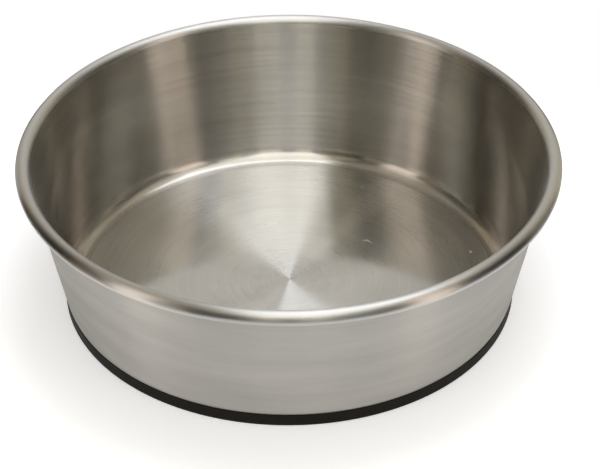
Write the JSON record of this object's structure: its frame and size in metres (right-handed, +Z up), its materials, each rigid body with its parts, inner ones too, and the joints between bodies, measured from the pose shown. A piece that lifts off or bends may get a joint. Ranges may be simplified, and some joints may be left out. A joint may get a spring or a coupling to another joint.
{
  "type": "dog bowl",
  "caption": "Low tapered stainless steel pet bowl with a rolled rim, a flat circular-brushed floor and a black rubber ring bonded round its foot.",
  "frame": {"origin": "on the ground plane at the centre of the bowl, under the rubber ring", "axes": "+Z up along the axis of revolution; X and Y are alike"},
  "size_m": [0.21, 0.21, 0.0635],
  "materials": {
    "steel": "circular-brushed floor, brushed wall inside, satin outside, polished bead",
    "adhesive": "cured film, hidden between the rubber and the steel",
    "rubber": "moulded black rubber, matte"
  },
  "bodies": {
    "root": {"bowl_shell": "steel", "bond_layer": "adhesive", "base_ring": "rubber"}
  },
  "joints": []
}
